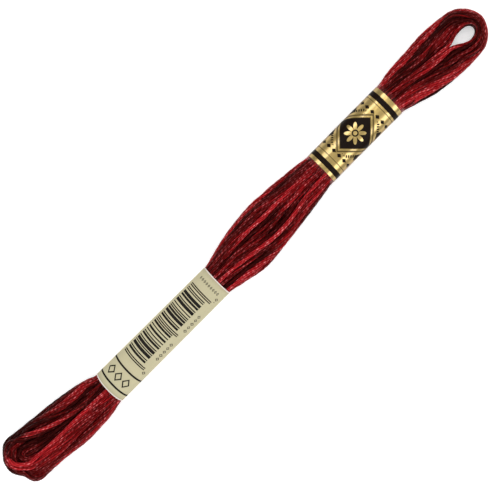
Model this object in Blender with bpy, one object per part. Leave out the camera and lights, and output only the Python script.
"""A skein of embroidery floss: a long wound hank of cotton in a paper band and a gold film band.

X runs along the skein towards the loop with the open eye, Y runs across it and Z is up. The skein
lies on the surface Z = 0, with the origin under its middle. Lengths in the tables are millimetres.
"""

from collections import namedtuple

import bmesh
import bpy
import numpy as np

MM = 0.001

# The bands are sleeves of one wall thickness. They press the hank down to a narrow waist, and the
# waist keeps this gap to their inside.
BAND_HEIGHT = 5.5
BAND_WALL = 0.4
BAND_GAP = 0.3
WAIST_INSET = BAND_WALL + BAND_GAP

Band = namedtuple("Band", "start end start_middle end_middle start_half end_half")
PAPER_BAND = Band(start=-52.1, end=-11.7, start_middle=-1.17, end_middle=-1.14, start_half=4.83, end_half=4.65)
GOLD_BAND = Band(start=26.6, end=53.8, start_middle=0.30, end_middle=0.50, start_half=4.83, end_half=4.83)
BAND_SEGMENTS = 48
BAND_STEPS = 4

# How far past a band's edge the floss has spread to the band's own width again.
FLARE = 1.1

# The eye is the teardrop hole in the right-hand loop: pointed where the two legs part, round at the
# far end, widest between. The left-hand loop is pulled shut on its own middle, the pole.
POLE_X = -78.5
EYE_POINT_X = 73.5
EYE_WIDEST_X = 78.9
EYE_POINT_Y = -0.84
EYE_LOWER_Y = -3.30
EYE_UPPER_Y = 0.27
EYE_ROUND = 2.98
RIGHT_TIP_X = 85.1
RIGHT_TURN_FULLNESS = 1.75

# Sections of the hank along the skein: its lower and upper edge, the line where its two legs meet,
# the height of its crown and underside, and how far the legs have parted into two rounds, from 0 for
# one common oval to 1 for two.
Section = namedtuple("Section", "along lower middle upper crown under parted")
WAIST_CROWN = BAND_HEIGHT - WAIST_INSET


def waist(band, at_end):
    """The hank's section at one edge of a band, as wide as the band's inside allows."""
    along = band.end if at_end else band.start
    middle = band.end_middle if at_end else band.start_middle
    half = (band.end_half if at_end else band.start_half) - WAIST_INSET
    return Section(along, middle - half, middle, middle + half, WAIST_CROWN, WAIST_INSET, 0.0)


SECTIONS = (
    Section(-78.5, -5.87, 1.75, 8.04, 5.0, 0.0, 0.90),
    Section(-72.6, -6.20, 0.90, 7.34, 5.4, 0.0, 0.45),
    Section(-64.3, -7.11, -0.20, 6.44, 5.5, 0.0, 0.12),
    Section(-56.0, -6.72, -0.90, 5.01, 5.4, 0.0, 0.0),
    Section(PAPER_BAND.start - FLARE, -6.15, -1.10, 4.10, 5.2, 0.0, 0.0),
    waist(PAPER_BAND, at_end=False),
    waist(PAPER_BAND, at_end=True),
    Section(PAPER_BAND.end + FLARE, -5.87, -1.10, 3.62, 5.1, 0.0, 0.0),
    Section(-6.3, -6.77, -0.90, 4.75, 5.3, 0.0, 0.0),
    Section(0.0, -7.86, -0.60, 6.05, 5.5, 0.0, 0.0),
    Section(8.2, -7.11, -0.10, 6.80, 5.5, 0.0, 0.0),
    Section(16.5, -6.00, 0.15, 6.28, 5.4, 0.0, 0.0),
    Section(GOLD_BAND.start - FLARE, -4.60, 0.30, 5.25, 5.2, 0.0, 0.0),
    waist(GOLD_BAND, at_end=False),
    waist(GOLD_BAND, at_end=True),
    Section(GOLD_BAND.end + FLARE, -4.60, 0.48, 5.40, 5.1, 0.0, 0.0),
    Section(58.0, -5.50, 0.30, 6.02, 5.2, 0.0, 0.0),
    Section(62.1, -6.80, 0.00, 6.41, 5.3, 0.0, 0.05),
    Section(66.3, -7.50, -0.30, 6.59, 5.4, 0.0, 0.15),
    Section(70.4, -7.86, -0.65, 6.80, 5.4, 0.0, 0.35),
    Section(EYE_POINT_X, -8.04, EYE_POINT_Y, 6.70, 5.4, 0.0, 0.60),
    Section(EYE_WIDEST_X, -7.63, -1.50, 6.02, 5.5, 0.0, 0.97),
)

# The closed end's outline, as its reach from the pole at angles counted from +X, anticlockwise.
Reach = namedtuple("Reach", "angle reach")
LEFT_TURN = (
    Reach(90.0, 6.29),
    Reach(111.0, 6.73),
    Reach(133.5, 6.39),
    Reach(172.0, 6.66),
    Reach(226.0, 6.30),
    Reach(252.0, 7.64),
    Reach(270.0, 7.62),
)
TURN_CROWN = 5.6
TURN_STEPS = 14

# Stretches of a leg and the steps that each is lofted in: long ones where a band hides the floss.
Stretch = namedtuple("Stretch", "end steps")
STRETCHES = (
    Stretch(PAPER_BAND.start - FLARE, 12),
    Stretch(PAPER_BAND.start, 1),
    Stretch(PAPER_BAND.end, 6),
    Stretch(PAPER_BAND.end + FLARE, 1),
    Stretch(GOLD_BAND.start - FLARE, 17),
    Stretch(GOLD_BAND.start, 1),
    Stretch(GOLD_BAND.end, 4),
    Stretch(GOLD_BAND.end + FLARE, 1),
    Stretch(EYE_POINT_X, 9),
    Stretch(EYE_WIDEST_X, 4),
)

# A section's oval: how square it is, how high its widest point lies, and how much of its underside
# the surface presses flat.
FULLNESS = 2.3
SIDE_HEIGHT = 0.42
FLATTENING = 1.18
PROFILE_STEPS = 240

# The threads on the outside of each leg, raised as ridges. A ridge has a valley and two shoulders,
# placed across its width, and its valleys are shallow where a band presses the hank.
RIDGES = 8
RIDGE_POINTS = (0.0, 0.3, 0.7)
VALLEY_DEPTH = 0.42
PRESSED_DEPTH = 0.12
UNDERSIDE_POINTS = (0.4, 0.8, 1.0)

# The ridges wander sideways, by a share of their width, over waves of a few lengths, and rise and sink
# over longer ones. Each starts its waves at its own turn, in radians.
WANDER = 0.30
WANDER_LENGTHS = (31.0, 38.0, 45.0)
WANDER_TURN = 2.4
RISE = 0.13
RISE_LENGTH = 62.0
RISE_TURN = 1.9

GARNET = (0.22, 0.008, 0.012, 1.0)
CREAM = (0.60, 0.56, 0.40, 1.0)
GOLD = (0.52, 0.38, 0.10, 1.0)


def clear_scene():
    """Remove whatever objects the scene holds."""
    for other in list(bpy.data.objects):
        bpy.data.objects.remove(other, do_unlink=True)


def finish(name, colour, roughness, metallic):
    """A material with one colour and gloss."""
    material = bpy.data.materials.new(name)
    material.use_nodes = True
    shader = material.node_tree.nodes["Principled BSDF"]
    shader.inputs["Base Color"].default_value = colour
    shader.inputs["Roughness"].default_value = roughness
    shader.inputs["Metallic"].default_value = metallic
    return material


def add_object(name, shape, material):
    """An object of a finished bmesh, rounded by smooth shading."""
    mesh = bpy.data.meshes.new(name)
    shape.to_mesh(mesh)
    shape.free()
    mesh.shade_smooth()
    mesh.set_sharp_from_angle(angle=np.radians(50))
    mesh.materials.append(material)
    added = bpy.data.objects.new(name, mesh)
    bpy.context.scene.collection.objects.link(added)
    return added


def read_table(places, values, at):
    """Values between a table's rows, on a smooth curve that never passes beyond its rows."""
    places, values = np.asarray(places, float), np.asarray(values, float)
    climbs = np.diff(values) / np.diff(places)
    before, after = climbs[:-1], climbs[1:]
    same_way = before * after > 0
    total = np.where(same_way, before + after, 1.0)
    slopes = np.concatenate(([climbs[0]], np.where(same_way, 2 * before * after / total, 0.0), [climbs[-1]]))
    row = np.clip(np.searchsorted(places, at, side="right") - 1, 0, len(places) - 2)
    width = places[row + 1] - places[row]
    part = (at - places[row]) / width
    left_share = (1 + 2 * part) * (1 - part) ** 2
    left_slope = part * (1 - part) ** 2 * width
    right_slope = part**2 * (part - 1) * width
    ends = left_share * values[row] + (1 - left_share) * values[row + 1]
    return ends + left_slope * slopes[row] + right_slope * slopes[row + 1]


def section_at(along):
    """The hank's section at a place along the skein, read from SECTIONS."""
    places = [section.along for section in SECTIONS]
    columns = [[section[field] for section in SECTIONS] for field in range(1, len(Section._fields))]
    return Section(along, *(float(read_table(places, column, along)) for column in columns))


def leg_places():
    """Places along one leg where its sections are made, from the pole to the eye's widest part."""
    places = [POLE_X]
    for stretch in STRETCHES:
        places.extend(np.linspace(places[-1], stretch.end, stretch.steps + 1)[1:])
    return places


# One station of the ring: where it starts and ends in plan, its heights, and the number of the shared
# point where its inner edge meets the other leg, or None beside the open eye.
Station = namedtuple("Station", "inner outer crown under parted seam")


def leg_station(number, along, edge, eye_edge):
    """A station on one leg. edge names the table's column, and eye_edge is that side of the eye."""
    section = section_at(along)
    outer = (along, getattr(section, edge))
    seam = number
    middle = section.middle
    if along > EYE_POINT_X:
        seam = None
        share = (along - EYE_POINT_X) / (EYE_WIDEST_X - EYE_POINT_X)
        middle = EYE_POINT_Y + (eye_edge - EYE_POINT_Y) * np.sin(share * np.pi / 2)
    return Station((along, middle), outer, section.crown, section.under, section.parted, seam)


def right_turn():
    """Stations round the far end of the eye, from the lower leg to the upper one, both left out."""
    widest = SECTIONS[-1]
    half = (widest.upper - widest.lower) / 2
    eye_half = (EYE_UPPER_Y - EYE_LOWER_Y) / 2
    power = 2 / RIGHT_TURN_FULLNESS
    stations = []
    for angle in np.linspace(-np.pi / 2, np.pi / 2, TURN_STEPS + 1)[1:-1]:
        reach, side = np.cos(angle), np.sin(angle)
        outer = (
            EYE_WIDEST_X + (RIGHT_TIP_X - EYE_WIDEST_X) * reach**power,
            widest.lower + half + half * np.sign(side) * abs(side) ** power,
        )
        inner = (EYE_WIDEST_X + EYE_ROUND * reach, EYE_LOWER_Y + eye_half + eye_half * side)
        crown = widest.crown + (TURN_CROWN - widest.crown) * reach
        stations.append(Station(inner, outer, crown, 0.0, widest.parted, None))
    return stations


def left_turn():
    """Stations round the closed end, from the upper leg to the lower one, both left out."""
    first = SECTIONS[0]
    pole = (first.along, first.middle)
    angles = [row.angle for row in LEFT_TURN]
    reaches = [row.reach for row in LEFT_TURN]
    stations = []
    for angle in np.linspace(angles[0], angles[-1], TURN_STEPS + 1)[1:-1]:
        reach = float(read_table(angles, reaches, angle))
        way = np.radians(angle)
        outer = (pole[0] + reach * np.cos(way), pole[1] + reach * np.sin(way))
        stations.append(Station(pole, outer, first.crown, 0.0, first.parted, 0))
    return stations


def ring_stations():
    """Every station of the wound ring, anticlockwise, from the pole along the lower leg."""
    places = leg_places()
    lower = [leg_station(n, along, "lower", EYE_LOWER_Y) for n, along in enumerate(places)]
    upper = [leg_station(n, along, "upper", EYE_UPPER_Y) for n, along in enumerate(places)]
    return lower + right_turn() + upper[::-1] + left_turn()


def oval(width, station):
    """Half an oval, from the inner top round the outer side to the inner bottom, as out and height."""
    turn = np.linspace(0.0, np.pi, PROFILE_STEPS)
    away = np.abs(np.sin(turn)) ** (2 / FULLNESS)
    away[-1] = 0.0
    from_crest = (1 - station.parted) * away + station.parted * np.abs(2 * away - 1)
    swell = np.maximum(0.0, 1 - from_crest**FULLNESS) ** (1 / FULLNESS)
    side = station.under + SIDE_HEIGHT * (station.crown - station.under)
    top = side + (station.crown - side) * swell
    bottom = np.maximum(station.under, side - FLATTENING * (side - station.under) * swell)
    return width * away, np.where(turn < np.pi / 2, top, bottom)


def ridge_lines(travel):
    """Where the ridges' points lie across a leg and how high they stand, at a distance round the ring."""
    edges = []
    for edge in range(RIDGES + 1):
        wave = 2 * np.pi * travel / WANDER_LENGTHS[edge % len(WANDER_LENGTHS)]
        held = edge in (0, RIDGES)
        edges.append(edge if held else edge + WANDER * np.sin(wave + WANDER_TURN * edge))
    places, heights = [], []
    for ridge in range(RIDGES):
        wave = 2 * np.pi * travel / RISE_LENGTH
        crest = RISE * np.sin(wave + RISE_TURN * ridge) - RISE
        for point in RIDGE_POINTS:
            places.append(edges[ridge] + point * (edges[ridge + 1] - edges[ridge]))
            heights.append(crest if point else -VALLEY_DEPTH)
    places.append(edges[-1])
    heights.append(0.0)
    return np.array(places) / RIDGES, np.array(heights)


def section_points(station, travel):
    """The points of one station, from the inner top to the inner bottom, ridges included."""
    inner, outer = np.array(station.inner), np.array(station.outer)
    width = float(np.linalg.norm(outer - inner))
    outward = (outer - inner) / width
    out, height = oval(width, station)
    arc = np.concatenate(([0.0], np.cumsum(np.hypot(np.diff(out), np.diff(height)))))
    side = len(arc) // 2
    pressed = side + int(np.argmax(height[side:] <= station.under))
    shares, relief = ridge_lines(travel)
    if station.under > 0:
        relief = relief * PRESSED_DEPTH / VALLEY_DEPTH
    round_arcs = shares * arc[pressed]
    flat_arcs = arc[pressed] + np.array(UNDERSIDE_POINTS) * (arc[-1] - arc[pressed])
    arcs = np.concatenate((round_arcs, flat_arcs))
    relief = np.concatenate((relief, np.zeros(len(flat_arcs))))
    tilt_out = np.interp(arcs, arc, np.gradient(height, arc))
    tilt_up = np.interp(arcs, arc, np.gradient(out, arc))
    length = np.hypot(tilt_out, tilt_up)
    across = np.interp(arcs, arc, out) - relief * tilt_out / length
    level = np.interp(arcs, arc, height) + relief * tilt_up / length
    across[0] = 0.0
    level[0] = height[0] - VALLEY_DEPTH
    level = np.maximum(level, station.under)
    return [(*(inner + outward * a), z) for a, z in zip(across, level, strict=True)]


def hank_shape():
    """The wound ring: one closed skin over both legs and both end loops, open at the eye."""
    stations = ring_stations()
    middles = [(np.array(s.inner) + np.array(s.outer)) / 2 for s in stations]
    travel = np.concatenate(([0.0], np.cumsum([np.linalg.norm(b - a) for a, b in zip(middles, middles[1:])])))
    shape = bmesh.new()
    shared = {}
    rings = []
    for station, distance in zip(stations, travel, strict=True):
        points = section_points(station, distance)
        ring = []
        for number, point in enumerate(points):
            edge = {0: "top", len(points) - 1: "bottom"}.get(number)
            key = (station.seam, edge)
            if edge and station.seam is not None and key in shared:
                ring.append(shared[key])
                continue
            vertex = shape.verts.new([size * MM for size in point])
            ring.append(vertex)
            if edge and station.seam is not None:
                shared[key] = vertex
        rings.append(ring)
    count = len(rings)
    for number, ring in enumerate(rings):
        after = rings[(number + 1) % count]
        for low in range(len(ring) - 1):
            high = low + 1
            add_face(shape, (ring[low], ring[high], after[high], after[low]))
        open_here = stations[number].seam is None or stations[(number + 1) % count].seam is None
        if open_here:
            add_face(shape, (ring[-1], ring[0], after[0], after[-1]))
    bmesh.ops.recalc_face_normals(shape, faces=shape.faces)
    bmesh.ops.triangulate(shape, faces=shape.faces)
    return shape


def add_face(shape, corners):
    """A face through the corners, or a triangle where two of them are one point."""
    different = list(dict.fromkeys(corners))
    if len(different) > 2:
        shape.faces.new(different)


def band_shape(band):
    """A band's outer skin: an oval tube along X, pressed flat where it lies on the surface."""
    shape = bmesh.new()
    rings = []
    for share in np.linspace(0.0, 1.0, BAND_STEPS + 1):
        along = band.start + share * (band.end - band.start)
        middle = band.start_middle + share * (band.end_middle - band.start_middle)
        half = band.start_half + share * (band.end_half - band.start_half)
        side = SIDE_HEIGHT * BAND_HEIGHT
        ring = []
        for turn in np.linspace(0.0, 2 * np.pi, BAND_SEGMENTS, endpoint=False):
            across = np.sign(np.sin(turn)) * abs(np.sin(turn)) ** (2 / FULLNESS)
            swell = abs(np.cos(turn)) ** (2 / FULLNESS)
            rising = np.cos(turn) > 0
            height = side + (BAND_HEIGHT - side) * swell if rising else side - FLATTENING * side * swell
            point = (along, middle + half * across, max(0.0, height))
            ring.append(shape.verts.new([size * MM for size in point]))
        rings.append(ring)
    for ring, after in zip(rings, rings[1:]):
        for number in range(BAND_SEGMENTS):
            beside = (number + 1) % BAND_SEGMENTS
            shape.faces.new((ring[number], ring[beside], after[beside], after[number]))
    bmesh.ops.recalc_face_normals(shape, faces=shape.faces)
    return shape


def add_band(name, band, material):
    """A band as a sleeve whose wall lies inside its outer skin."""
    added = add_object(name, band_shape(band), material)
    wall = added.modifiers.new("wall", "SOLIDIFY")
    wall.thickness = BAND_WALL * MM
    wall.offset = -1.0
    wall.use_even_offset = True
    return added


clear_scene()
add_object("floss_hank", hank_shape(), finish("floss", GARNET, 0.55, 0.0))
add_band("paper_band", PAPER_BAND, finish("paper", CREAM, 0.75, 0.0))
add_band("gold_band", GOLD_BAND, finish("gold_film", GOLD, 0.25, 0.9))
